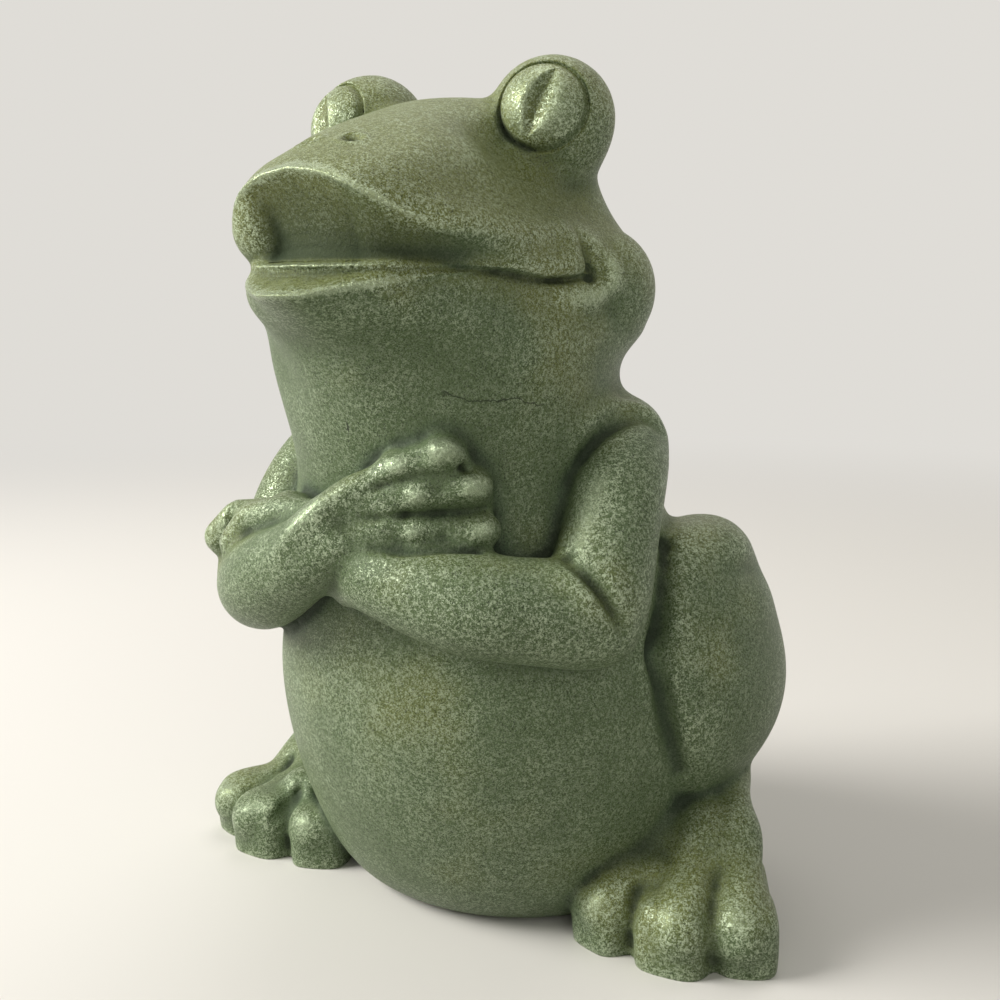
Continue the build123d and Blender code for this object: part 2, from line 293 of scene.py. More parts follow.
def block(bm, middle, half, turn=0.0, square=3.2):
    """Adds a rounded block: a ball pressed towards a box, turned about the upright."""
    made = bmesh.ops.create_uvsphere(bm, u_segments=40, v_segments=24, radius=1.0)["verts"]
    for v in made:
        size = sum(abs(c) ** square for c in v.co) ** (1 / square)
        v.co = Vector([c * h * MM for c, h in zip(v.co / size, half)])
    bmesh.ops.rotate(bm, verts=made, cent=(0, 0, 0), matrix=Matrix.Rotation(turn, 3, "Z"))
    bmesh.ops.translate(bm, verts=made, vec=Vector(middle) * MM)


def rod(bm, start, end, thick, thin):
    """Adds a tapering finger or toe between two places, round at both ends."""
    start, end = Vector(start), Vector(end)
    run = end - start
    made = bmesh.ops.create_uvsphere(bm, u_segments=32, v_segments=24, radius=1.0)["verts"]
    for v in made:
        high = v.co.z > 0
        v.co = v.co * (thin if high else thick)
        if high:
            v.co.z += run.length
    turn = Vector((0, 0, 1)).rotation_difference(run).to_matrix()
    bmesh.ops.rotate(bm, verts=made, cent=(0, 0, 0), matrix=turn)
    bmesh.ops.translate(bm, verts=made, vec=start)
    bmesh.ops.scale(bm, verts=made, vec=(MM, MM, MM))


def add_toes(bm):
    """Square toe ends that stand on the floor, and the web between the toes."""
    for side in BOTH:
        for tip, half, turn in (((24.3, -18.4, 3.0), (4.5, 5.1, 5.8), 22),
                                ((33.6, -19.2, 3.0), (5.0, 5.3, 6.2), -4),
                                ((41.1, -14.8, 3.0), (4.2, 5.5, 6.0), -24)):
            block(bm, (side * tip[0], tip[1], tip[2]), half, radians(-side * turn), 3.6)
        rod(bm, (side * 32.0, -3.5, 10.0), (side * 25.8, -15.5, 5.2), 4.4, 3.2)
        rod(bm, (side * 32.6, -3.0, 10.0), (side * 33.6, -15.5, 5.4), 4.4, 3.6)
        rod(bm, (side * 33.4, -1.5, 9.0), (side * 39.6, -11.8, 5.0), 4.4, 3.4)
        rod(bm, (side * 36.0, -1.0, 4.5), (side * 40.6, -12.0, 4.6), 3.4, 3.4)
        block(bm, (side * 29.4, -14.0, 5.0), (4.2, 5.8, 6.8), 0.3 * side, 3.0)
        block(bm, (side * 28.8, -16.6, 2.6), (2.6, 5.0, 5.8), 0.0, 3.0)
        block(bm, (side * 37.0, -12.0, 4.0), (4.4, 6.6, 5.6), -0.3 * side, 3.0)
        block(bm, (side * 32.0, -5.0, 4.0), (6.4, 6.0, 7.0), 0.0, 2.4)


def add_hands(bm):
    """Fills the gaps behind the right hand's fingers, and lays the left hand's fingers over the forearm."""
    block(bm, (9.2, -37.0, 60.6), (6.4, 2.6, 6.4), radians(28), 2.4)
    for run in (((5.2, -40.6, 63.4), (12.0, -38.4, 66.0)), ((4.0, -42.2, 60.4), (9.7, -39.7, 61.9)),
                ((9.7, -39.7, 61.9), (14.4, -36.7, 62.4)), ((5.4, -41.8, 57.4), (10.8, -38.6, 57.1)),
                ((10.8, -38.6, 57.1), (15.0, -35.8, 57.2))):
        rod(bm, run[0], run[1], 2.0, 2.0)
    for run in (((-5.0, -40.4, 57.6), (-12.4, -39.2, 57.6)), ((-12.4, -39.2, 57.6), (-18.6, -38.6, 56.0)),
                ((-18.6, -38.6, 56.0), (-20.8, -39.4, 52.8)), ((-15.0, -36.0, 56.8), (-23.4, -35.8, 55.6)),
                ((-23.4, -35.8, 55.6), (-26.4, -36.2, 52.6))):
        rod(bm, run[0], run[1], 2.2, 2.2)


def raw_frog():
    """A mesh of merged copies of all the CAD nodes, with the forms that the casting adds."""
    forms = bmesh.new()
    add_toes(forms)
    add_hands(forms)
    added = bpy.data.meshes.new("added_forms")
    forms.to_mesh(added)
    forms.free()
    bm = bmesh.new()
    for name in SKINS:
        start = len(bm.verts)
        bm.from_mesh(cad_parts[name].data)
        if name in RESHAPED:
            bm.verts.ensure_lookup_table()
            for v in bm.verts[start:]:
                v.co = RESHAPED[name](v.co)
    bmesh.ops.remove_doubles(bm, verts=bm.verts, dist=1e-6)
    bm.from_mesh(added)
    raw = bpy.data.meshes.new("raw_frog")
    bm.to_mesh(raw)
    bm.free()
    bpy.data.meshes.remove(added)
    return raw


def modified(mesh, kind, **settings):
    """The mesh after one modifier."""
    holder = bpy.data.objects.new("holder", mesh)
    bpy.context.scene.collection.objects.link(holder)
    modifier = holder.modifiers.new(kind.lower(), kind)
    for key, value in settings.items():
        setattr(modifier, key, value)
    bpy.context.view_layer.update()
    ready = holder.evaluated_get(bpy.context.evaluated_depsgraph_get())
    made = bpy.data.meshes.new_from_object(ready)
    bpy.data.objects.remove(holder)
    return made


def islands(count, near, far):
    """A number for each group of things that the pairs join."""
    root = np.arange(count)
    while True:
        one, two = root[near], root[far]
        apart = one != two
        if not apart.any():
            return root
        root[np.maximum(one, two)[apart]] = np.minimum(one, two)[apart]
        while (root[root] != root).any():
            root = root[root]


def outer_skin(mesh):
    """Drops every shell of the mesh but the largest."""
    bm = bmesh.new()
    bm.from_mesh(mesh)
    pairs = np.array([[v.index for v in e.verts] for e in bm.edges])
    both = np.concatenate([pairs, pairs[:, ::-1]])
    group = islands(len(bm.verts), both[:, 0], both[:, 1])
    keep = np.bincount(group).argmax()
    loose = [v for v in bm.verts if group[v.index] != keep]
    bmesh.ops.delete(bm, geom=loose, context="VERTS")
    bm.to_mesh(mesh)
    bm.free()


def face_pairs(mesh):
    """The pairs of faces that share an edge."""
    loops = np.empty(len(mesh.loops), np.int32)
    mesh.loops.foreach_get("edge_index", loops)
    sizes = np.empty(len(mesh.polygons), np.int32)
    mesh.polygons.foreach_get("loop_total", sizes)
    owner = np.repeat(np.arange(len(sizes)), sizes)
    order = np.argsort(loops, kind="stable")
    edge, face = loops[order], owner[order]
    same = np.flatnonzero(edge[1:] == edge[:-1])
    one, two = face[same], face[same + 1]
    return np.concatenate([one, two]), np.concatenate([two, one])


def mouth_height(side):
    """Height of the line where the lips meet, at a distance from the middle."""
    return np.interp(side, [0, 9, 13.5, 17, 19.2, 21.8], [88.0, 87.9, 87.6, 87.1, 86.3, 86.8])


def name_faces(mesh):
    """Gives each face of the casting the number of the CAD node that it lies nearest to."""
    points, corners, owner = [], [], []
    for number, name in enumerate(SKINS):
        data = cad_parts[name].data
        data.calc_loop_triangles()
        base = len(points)
        points.extend(tuple(v.co) for v in data.vertices)
        corners.extend(tuple(base + i for i in t.vertices) for t in data.loop_triangles)
        owner.extend([number] * len(data.loop_triangles))
    for build, pair in ((add_toes, ("left_foot", "right_foot")), (add_hands, ("right_hand", "left_hand"))):
        bm = bmesh.new()
        build(bm)
        bmesh.ops.triangulate(bm, faces=bm.faces)
        bm.verts.index_update()
        base = len(points)
        points.extend(tuple(v.co) for v in bm.verts)
        corners.extend(tuple(base + v.index for v in f.verts) for f in bm.faces)
        owner.extend(SKINS.index(pair[f.verts[0].co.x < 0]) for f in bm.faces)
        bm.free()
    tree = BVHTree.FromPolygons(points, corners, all_triangles=True)
    label = np.array([owner[tree.find_nearest(p.center)[2]] for p in mesh.polygons])
    middles = np.array([p.center for p in mesh.polygons]) / MM
    head = SKINS.index("head")
    for side, eye in ((1, "left_eye"), (-1, "right_eye")):
        local = eye_view(middles, side)
        on = (np.hypot(local[:, 0], local[:, 1]) < EYE_RING) & (local[:, 2] > 2.5)
        label[label == SKINS.index(eye)] = head
        label[on] = SKINS.index(eye)
    jaw = SKINS.index("lower_jaw")
    above = middles[:, 2] - mouth_height(np.abs(middles[:, 0]))
    lips = (np.abs(middles[:, 0]) < 19) & (middles[:, 1] < -27) & (np.abs(above) < 6)
    lips &= (label == head) | (label == jaw)
    label[lips] = np.where(above > 0, head, jaw)[lips]
    near, far = face_pairs(mesh)
    count = len(label)
    degree = np.maximum(np.bincount(near, minlength=count), 1)
    field = np.stack([(label == k).astype(float) for k in range(len(SKINS))], 1)
    for _ in range(10):
        field = 0.5 * field + 0.5 * np.stack(
            [np.bincount(near, field[far, k], count) / degree for k in range(len(SKINS))], 1)
    label = field.argmax(1)
    for _ in range(4):
        same = label[near] == label[far]
        group = islands(count, near[same], far[same])
        size = np.bincount(group, minlength=count)[group]
        small = size < SMALLEST_PATCH
        if not small.any():
            break
        edge = small[near] & ~small[far]
        label[near[edge]] = label[far[edge]]
    return label


def proudness(clay, passes):
    """How far each point stands out of its smoothed surroundings, less than nothing in a hollow."""
    smooth = clay.co.copy()
    for _ in range(passes):
        smooth = 0.2 * smooth + 0.8 * clay.mean(smooth)
    field = ((clay.co - smooth) * clay.normal).sum(1)
    for _ in range(2):
        field = 0.5 * field + 0.5 * clay.mean(field)
    return field


def shade_fields(clay):
    """Stores how hollow or proud each point is, at three scales, and the casting's normals."""
    even = modified(clay.mesh, "REMESH", mode="VOXEL", voxel_size=EVEN_GRAIN, adaptivity=0.0)
    coarse = Clay(even)
    tree = KDTree(len(coarse.co))
    for number, place in enumerate(coarse.co):
        tree.insert(place, number)
    tree.balance()
    found = np.array([[hit[1] for hit in tree.find_n(place, 3)] for place in clay.co])
    # The painted shade and the rubbed, partly painted highlights go on to the shader.
    fields = {"edge_fine": proudness(clay, 3), "painted_lip_shade": clay.painted_shade, "polish_and_highlight": clay.rub_and_highlight}
    for name, passes in (("edge_mid", 17), ("edge_broad", 90)):
        fields[name] = proudness(coarse, passes)[found].mean(1)
    for name, field in fields.items():
        layer = clay.mesh.attributes.new(name, "FLOAT", "POINT")
        layer.data.foreach_set("value", field.astype(np.float32))
    layer = clay.mesh.attributes.new("cast_normal", "FLOAT_VECTOR", "POINT")
    layer.data.foreach_set("vector", clay.normal.astype(np.float32).ravel())
    bpy.data.meshes.remove(even)


def refine(mesh, wanted):
    """Divides the faces once where a test on their middles, in millimetres, asks for it."""
    bm = bmesh.new()
    bm.from_mesh(mesh)
    middles = np.array([f.calc_center_median() for f in bm.faces]) / MM
    bm.faces.ensure_lookup_table()
    chosen = {e for k in np.flatnonzero(wanted(middles)) for e in bm.faces[k].edges}
    bmesh.ops.subdivide_edges(bm, edges=list(chosen), cuts=1, use_grid_fill=True)
    bm.to_mesh(mesh)
    bm.free()


def eye_axes(side):
    """An eye's middle and its three axes: across, up and outward."""
    look = Vector((side * EYE_LOOK[0], EYE_LOOK[1], EYE_LOOK[2])).normalized()
    across = Vector((0, 0, 1)).cross(look).normalized()
    axes = np.array([across, look.cross(across), look])
    return np.array((side * EYE_MIDDLE[0], EYE_MIDDLE[1], EYE_MIDDLE[2])), axes


def eye_view(points, side):
    """Points in an eye's own axes."""
    middle, axes = eye_axes(side)
    return (points - middle) @ axes.T


def on_eye(points, reach):
    """Which points lie on the front of either eye, within reach of its axis."""
    found = np.zeros(len(points), bool)
    for side in BOTH:
        local = eye_view(points, side)
        found |= (np.hypot(local[:, 0], local[:, 1]) < reach) & (local[:, 2] > 2.5)
    return found


def near_lips(points):
    """Which points lie in the band of the lips."""
    x, y, z = points.T
    return (y < -17) & (z > 80.5) & (z < 100) & (y < -12 - 12 * ease((22 - np.abs(x)) / 6))


def near_mouth_line(points):
    """Which points lie close to the line where the lips meet."""
    return near_lips(points) & (np.abs(points[:, 2] - 86.6) < 2.4)


def near_nostrils(points):
    """Which points lie round the nostrils."""
    x, y, z = points.T
    return np.linalg.norm(np.stack([np.abs(x), y, z], 1) - NOSTRIL, axis=1) < 3.6


def near_fingers(points):
    """Which points lie on the hands where the fingers are."""
    x, y, z = points.T
    return (y < -33) & (z > 50) & (z < 70) & (((x > -2) & (x < 18)) | ((x > -31) & (x < -12)))


def near_toes(points):
    """Which points lie on the toes."""
    x, y, z = points.T
    return (y < -9) & (z < 11) & (np.abs(x) > 19)


def soften_creases(clay, shape):
    """Rounds the joins as the mould does, more where the head and eyes flow together."""
    clay.relax(shape.soften)
    for side in BOTH:
        mound = clay.ball((side * 13.8, -15.0, 102.0), (14, 14, 11))
        front = ease((eye_view(clay.co, side)[:, 2] + 3.0) / 4.0) * ease((clay.co[:, 2] - 101) / 4)
        top = ease((clay.co[:, 2] - 107) / 4)
        clay.relax(70, np.clip(mound * 1.8, 0, 1) * (1 - np.maximum(front, top)))
    neck = np.exp(-((clay.co[:, 2] - 70) / 5) ** 2) * ease((clay.co[:, 1] + 30) / 14)
    clay.relax(60, neck)
    for side in BOTH:
        old = clay.ball((side * 6.0, -43.0, 101.0), (4.5, 5.5, 4.5))
        clay.relax(80, np.clip(1.6 * old, 0, 1))
    for side in BOTH:
        local = eye_view(clay.co, side)
        away = np.hypot(local[:, 0], local[:, 1])
        clay.relax(20, (1 - ease((away - 7.5) / 3.0)) * ease((local[:, 2] - 0.5) / 2.0))
    clay.settle()
    clay.lump((19.0, -14.0, 97.6), 1.6, (4.0, 5.0, 4.0), BOTH)
    clay.lump((12.8, -28.6, 101.8), -2.2, (5.4, 4.6, 4.4), BOTH)
    clay.lump((11.5, -40.5, 75.0), -1.1, (6.0, 6.0, 5.0), BOTH)
    for side in BOTH:
        round_eye_mound(clay, side)
        clay.relax(40, clay.ball((side * 19.0, -13.0, 97.8), (7, 8, 5.5)))
        clay.relax(60, clay.ball((side * 13.2, -27.2, 102.2), (6.0, 5.0, 5.0)))
    clay.settle()


def round_eye_mound(clay, side):
    """Swells the head to a ball round an eye, with a soft passage into the head."""
    middle = eye_axes(side)[0]
    spoke = clay.co - middle
    away = np.linalg.norm(spoke, axis=1)
    pick = np.flatnonzero(away < 12)
    gap = away[pick] - EYE_MOUND
    full = EYE_MOUND + 0.5 * (gap + np.sqrt(gap ** 2 + EYE_FILLET ** 2))
    clay.co[pick] = middle + spoke[pick] * (full / away[pick])[:, None]
    clay.relax(5, 1 - ease((away - 8.5) / 3.0))


def shape_eyes(clay, shape):
    """A dome in a ring groove on each mound, with a leaning pupil hollow."""
    for side in BOTH:
        middle, axes = eye_axes(side)
        local = eye_view(clay.co, side)
        away = np.hypot(local[:, 0], local[:, 1])
        pick = np.flatnonzero((away < 7.6) & (local[:, 2] > 0.5))
        x, y, out = local[pick].T
        away = away[pick]
        ball = np.sqrt(np.maximum(EYE_ROUND ** 2 - away ** 2, 1))
        ring = np.abs(away - EYE_RING - 0.3) < 0.4
        tilt = np.linalg.lstsq(np.stack([x, y, x ** 0], 1)[ring], (out - ball)[ring], rcond=None)[0]
        ball = ball + tilt[0] * x + tilt[1] * y + tilt[2]
        out = out + (ball - out) * (1 - ease((away - EYE_RING + 0.2) / 1.0))
        dome = np.clip(1 - (away / EYE_RING) ** 2, 0, 1)
        out += (shape.dome_rise - EYE_BALL_RISE) * dome ** 0.8
        out += 0.12 * np.exp(-((away - EYE_RING - 0.5) / 0.35) ** 2)
        out -= 0.62 * np.exp(-np.abs((away - EYE_RING) / 0.24) ** 2.2)
        lean = PUPIL_LEAN * side
        over = x * cos(lean) - y * sin(lean)
        upward = x * sin(lean) + y * cos(lean)
        half = PUPIL_HALF_WIDTH * np.clip(1 - (upward / PUPIL_HALF_LENGTH) ** 2, 0, None)
        over = side * over / np.maximum(half, 1e-6)
        deep = np.interp(over, [-1.0, -0.8, -0.6, -0.35, 0.0, 0.4, 0.8, 1.15, 1.5],
                         [0.0, 0.2, 0.6, 0.95, 1.0, 0.72, 0.32, 0.08, 0.0])
        out -= shape.pupil_depth * deep * np.clip(half / PUPIL_HALF_WIDTH, 0, 1) ** 0.8
        local = np.stack([x, y, out], 1)
        clay.co[pick] = local @ axes + middle
        # The dome is rubbed bright, which paints a highlight on it.
        clay.rub_and_highlight[pick] = np.maximum(clay.rub_and_highlight[pick], 0.45 * (1 - ease((away - 4.2) / 0.9)))
    clay.settle()


def shape_mouth(clay, shape):
    """The flaring upper lip over its hollow, the two ridges of the lower lip and the corners."""
    pick = np.flatnonzero((clay.co[:, 1] < -15) & (clay.co[:, 2] > 76) & (clay.co[:, 2] < 103))
    x, y, z = clay.co[pick].T
    side = np.abs(x)
    ahead = y - LIP_CENTRE
    outward = np.stack([x, ahead, 0 * x], 1)
    outward[:, 1] = np.minimum(outward[:, 1], -0.4 * side)
    outward /= np.linalg.norm(outward, axis=1)[:, None]
    reach = [0, 4.1, 7.4, 10, 12.7, 14.3, 15.4, 17, 18.8, 20.9]
    crest = np.interp(side, reach, [98.0, 97.1, 95.6, 94.2, 92.2, 90.9, 89.9, 89.0, 88.3, 87.6])
    mouth = mouth_height(side)
    up = (z - mouth) / np.maximum(crest - mouth, 0.4)
    flare = np.interp(side, [9, 11, 12.7, 14.3, 15.4, 17, 18.8, 20.9, 22.5],
                      [0, 0.2, 0.6, 1.5, 2.0, 2.2, 1.6, 0.6, 0])
    above = 1 - ease((z - crest) / 6.0)
    below = 1 - 0.3 * ease(1 - up)
    move = flare * np.where(z > crest, above, below) * (z > mouth)
    spoke = np.hypot(x, ahead)
    turn = np.minimum(np.arctan2(side, -ahead), 1.3)
    even = np.stack([turn ** k for k in (0, 2, 4, 6)], 1)
    rim = (np.abs(up - 1) < 0.1) & (turn < 1.2)
    edge = even @ np.linalg.lstsq(even[rim], spoke[rim], rcond=None)[0]
    deep = np.interp(up, [0.0, 0.06, 0.15, 0.3, 0.5, 0.7, 0.85, 0.93, 1.0],
                     [0.85, 1.1, 1.25, 1.22, 1.02, 0.7, 0.36, 0.15, 0.0])
    fade = np.where(x > 0, np.interp(side, [0, 7, 10, 13, 17], [1, 1, 0.75, 0.4, 0]),
                    np.interp(side, [0, 6.2, 8.6, 10.6], [1, 1, 0.4, 0]))
    inside = (up >= 0) & (up <= 1)
    move += (edge - shape.hollow * deep - spoke) * fade * inside
    move += 0.3 * np.exp(-((up - 1.02) / 0.06) ** 2) * np.interp(side, [10, 14], [1, 0])
    ridge = np.interp(side, [0, 2.9, 6.3, 10.4, 13, 15], [84.4, 84.3, 85.0, 86.0, 86.7, 87.0])
    down = (mouth - z) / np.maximum(mouth - ridge, 0.3)
    outer = (np.abs(down - 1) < 0.12) & (turn < 1.2)
    front = even @ np.linalg.lstsq(even[outer], spoke[outer], rcond=None)[0] + 0.5
    back = edge - 0.85 * shape.hollow
    shelf = np.interp(down, [0, 0.06, 0.13, 0.25, 0.45, 0.65, 0.85, 1.0],
                      [0.0, 0.30, 0.43, 0.36, 0.37, 0.56, 0.88, 1.0])
    move += (back + (front - back) * shelf - spoke) * fade * (down > 0) * (down <= 1)
    lip = np.interp(down, [1.0, 1.12, 1.3, 1.7, 2.4, 3.4], [0.5, 0.4, -0.15, -0.5, -0.3, 0])
    move += lip * fade * (down > 1)
    clay.co[pick] += outward * move[:, None]
    # Painted shade in the hollow under the upper lip and in the lower lip's valley.
    clay.painted_shade[pick] = np.interp(up, [0.0, 0.05, 0.35, 0.7, 0.92], [0, 1.0, 0.9, 0.5, 0]) * fade
    clay.painted_shade[pick] += 0.6 * np.exp(-((down - 0.38) / 0.16) ** 2) * fade
    # Painted highlights on the upper lip's crest and the lower lip's two ridges, and painted light on the
    # far side's face under the lip.
    clay.rub_and_highlight[pick] = (np.exp(-((up - 1.03) / 0.07) ** 2) * np.interp(side, [6, 12, 18], [0.9, 0.35, 0])
                      + 0.8 * np.exp(-((down - 1.0) / 0.12) ** 2) * fade
                      + 0.7 * np.exp(-((down - 0.13) / 0.07) ** 2) * fade
                      + 0.35 * ease((up - 0.1) / 0.2) * ease((0.95 - up) / 0.2) * ease((-6.5 - x) / 2.5))
    clay.settle()
    clay.lump((9.5, -47.0, 84.4), 0.7, (3.5, 4.0, 2.6), BOTH)
    clay.lump((-10.4, -46.8, 89.8), 0.9, (3.0, 3.0, 2.2))
    clay.settle()
    line = [(13.4, -41.4, 87.4), (16.6, -34.6, 87.1), (19.2, -29.2, 86.2), (20.4, -25.6, 86.3),
            (21.3, -22.8, 86.8)]
    clay.bead(line, [-0.1, -0.2, -0.3, -0.5, -0.6], 0.8, BOTH)
    clay.settle()
    clay.bead(line, [-0.2, -0.5, -0.6, -0.7, -0.6], 0.3, BOTH)
    clay.bead([(20.0, -28.4, 88.0), (20.2, -25.6, 89.2), (19.6, -25.4, 92.2)], [0.2, 0.8, 0.3], 1.6, BOTH)
    clay.bead([(20.4, -27.0, 84.2), (22.2, -22.6, 84.2), (23.4, -19.6, 86.0), (22.8, -19.6, 89.2),
               (21.6, -21.2, 92.0)], [0.3, 0.9, 1.1, 0.9, 0.2], 1.5, BOTH)
    clay.settle()
    clay.lump((21.5, -22.4, 86.9), -1.0, 0.9, BOTH)
    clay.settle()
    clay.bead([(21.6, -22.4, 87.2), (21.2, -22.5, 88.8), (20.7, -23.2, 91.0), (20.2, -23.8, 92.8)],
              [-0.9, -0.8, -0.5, -0.1], 0.7, BOTH)
    clay.settle()
    lips = ease((-14 - clay.co[:, 1]) / 6) * (clay.co[:, 2] > 80) * (clay.co[:, 2] < 99)
    clay.relax(5, lips)
    clay.settle()
    # Painted highlight on the rim round the mouth's corner; the lower lip's front is rubbed bright as well.
    clay.polish_and_highlight_line([(21.4, -21.6, 92.4), (22.8, -19.8, 89.2), (23.6, -19.8, 86.0), (22.6, -22.6, 84.2),
                      (20.6, -27.0, 84.0)], 1.5, 0.75, BOTH)
    clay.polish_and_highlight((1.5, -49.0, 81.0), (9.0, 6.0, 4.5), 0.35)


def shape_nostrils(clay):
    """Two small pits close together on the snout."""
    for side in BOTH:
        pit = np.array(NOSTRIL) * (side, 1, 1)
        away = np.linalg.norm((clay.co - pit) / (1.0, 0.8, 1.2), axis=1)
        pick = away < 3
        drop = -0.85 * np.exp(-away[pick] ** 2) + 0.2 * np.exp(-((away[pick] - 1.6) / 0.6) ** 2)
        clay.co[pick] += clay.normal[pick] * drop[:, None]
    clay.settle()


def shape_arms(clay):
    """The folds over the shoulders and the crease at the left elbow."""
    clay.bead([(20.5, -25.8, 62.3), (22.4, -23.4, 66.1), (24.2, -20.1, 68.7), (25.9, -16.4, 69.4),
               (27.4, -14.9, 68.0)], [-0.3, -0.9, -1.0, -0.8, -0.3], 0.9, BOTH)
    clay.settle()
    clay.bead([(20.4, -26, 64.1), (21.6, -23.2, 68.8), (23.0, -17.2, 71.0), (25.2, -13.6, 70.4),
               (27.6, -12.4, 67.4)], [0.2, 0.7, 0.9, 0.9, 0.3], 1.5, BOTH)
    clay.settle()
    # Painted highlight down the upper arm's front edge.
    clay.polish_and_highlight_line([(25.6, -27.2, 62.8), (25.2, -30.4, 58.5), (24.8, -32.1, 55.8)], 2.2, 0.8, BOTH)


def shape_creases(clay):
    """The fold where the upper arm rests on the forearm, and the gap between arm, belly and haunch."""
    gap = [(26.2, -9.0, 51.6), (27.0, -11.2, 47.4), (27.9, -14.6, 42.6), (28.6, -17.0, 39.4),
           (29.6, -17.0, 35.6), (30.8, -16.4, 29.4), (31.4, -13.6, 23.0)]
    clay.bead(gap, [-1.8, -2.4, -2.2, -1.5, -1.3, -1.2, -0.9], 1.2, BOTH)
    clay.settle()
    clay.bead([(22.0, -34.6, 53.8), (25.4, -34.6, 51.8), (27.8, -34.8, 49.4), (29.2, -34.2, 46.4)],
              [0.2, 0.8, 0.8, 0.2], 2.2, BOTH)
    clay.settle()
    clay.bead([(23.9, -32.6, 54.5), (25.1, -33.6, 53.8), (26.9, -34.1, 53.1), (28.8, -34.2, 51.8),
               (30.3, -33.9, 49.6), (31.2, -33.2, 47.4), (31.5, -32.2, 45.0)],
              [-0.7, -1.0, -1.3, -1.4, -1.2, -0.8, -0.2], 0.75, BOTH)
    clay.settle()


def shape_hands(clay):
    """The wrist's ridge, the knuckles and the grooves between the fingers."""
    clay.bead([(-7.0, -47.6, 53.8), (-5.7, -47.7, 55.7), (-2.4, -46.6, 59.4), (0.8, -45.0, 61.8),
               (4.1, -43.1, 64.1)], [0.3, 0.8, 0.8, 0.7, 0.2], 1.4)
    clay.settle()
    clay.bead([(-3.4, -47.4, 54.6), (0.6, -46.2, 57.6), (4.2, -44.6, 59.6)], [-0.2, -0.7, -0.5], 2.0)
    clay.settle()
    clay.bead([(3.6, -43.8, 61.8), (6.4, -42.6, 63.2), (9.2, -40.9, 64.2), (14.0, -38.4, 64.8)],
              [-0.3, -1.2, -1.4, -1.2], 0.55)
    clay.bead([(3.4, -44.6, 59.0), (5.6, -43.6, 59.0), (9.5, -39.6, 59.6), (14.4, -36.0, 59.6)],
              [-0.3, -1.2, -1.2, -0.9], 0.55)
    clay.bead([(5.0, -44.6, 55.6), (10.0, -42.6, 55.0), (15.6, -38.6, 55.2)], [-0.3, -0.9, -0.8], 0.55)
    clay.settle()
    for knuckle in ((7.6, -43.0, 65.6), (11.8, -41.2, 67.0), (13.4, -40.2, 67.3), (9.2, -41.9, 61.7),
                    (14.6, -38.4, 62.6), (9.0, -42.0, 57.3), (15.3, -37.8, 57.2)):
        clay.lump(knuckle, 0.65, 1.4)
        # Painted highlight on each knuckle.
        clay.polish_and_highlight(knuckle, (2.6, 2.6, 2.6), 0.6)
    # Painted highlights on the right wrist and the left hand's fingers.
    clay.polish_and_highlight((-1.5, -46.8, 58.0), (7.0, 4.0, 6.0), 0.6)
    for place in ((-23.8, -37.9, 54.6), (-15.9, -41.0, 56.4)):
        clay.polish_and_highlight(place, (4.0, 4.0, 4.0), 0.5)
    for dent in ((9.7, -42.2, 66.2), (11.6, -40.6, 62.2), (11.8, -40.0, 56.9)):
        clay.lump(dent, -0.4, 0.9)
    clay.settle()
    clay.bead([(-23.4, -37.6, 57.0), (-23.0, -38.2, 54.4), (-23.4, -38.4, 51.0)], [-0.5, -0.9, -0.7], 0.6)
    clay.settle()


def shape_toes(clay):
    """Narrow grooves between the toes."""
    clay.bead([(28.6, -22.0, 1.5), (28.4, -21.6, 4.6), (28.2, -20.6, 8.0), (28.6, -16.6, 9.4),
               (29.4, -12.0, 10.8)], [-0.2, -0.4, -0.5, -0.6, -0.3], 0.7, BOTH)
    clay.bead([(38.6, -21.6, 1.5), (38.4, -21.4, 4.6), (38.0, -19.8, 8.0), (37.0, -16.0, 9.6),
               (36.0, -11.6, 11.4)], [-0.2, -0.5, -0.6, -0.6, -0.3], 0.7, BOTH)
    clay.settle()
    for line in ([(29.4, -23.6, 6.6), (28.8, -19.0, 9.6), (29.6, -13.0, 11.0)],
                 [(38.2, -22.0, 6.4), (37.6, -17.6, 9.4), (36.4, -10.0, 10.6), (35.4, -4.0, 11.6)]):
        clay.bead(line, [-0.6, -1.0, -0.6], 0.9, (-1,))
    clay.settle()
    # Painted highlights on the toe ends.
    for bulb in ((23.4, -23.2, 7.0), (33.4, -23.6, 7.8), (41.8, -20.0, 8.0)):
        clay.polish_and_highlight(bulb, (3.6, 3.2, 3.2), 0.6, BOTH)


def shape_legs(clay):
    """The knee's lobe over the bulge of the haunch."""
    clay.lump((34.2, 0.0, 50.6), 0.9, (3.4, 5.0, 2.2), BOTH)
    clay.lump((37.6, 1.0, 43.4), 0.9, (3.4, 8.0, 3.4), BOTH)
    clay.bead([(33.0, -8.0, 49.6), (35.2, 2.0, 47.4), (33.6, 9.0, 45.6)], [-0.1, -0.5, -0.1], 1.5, BOTH)
    clay.settle()


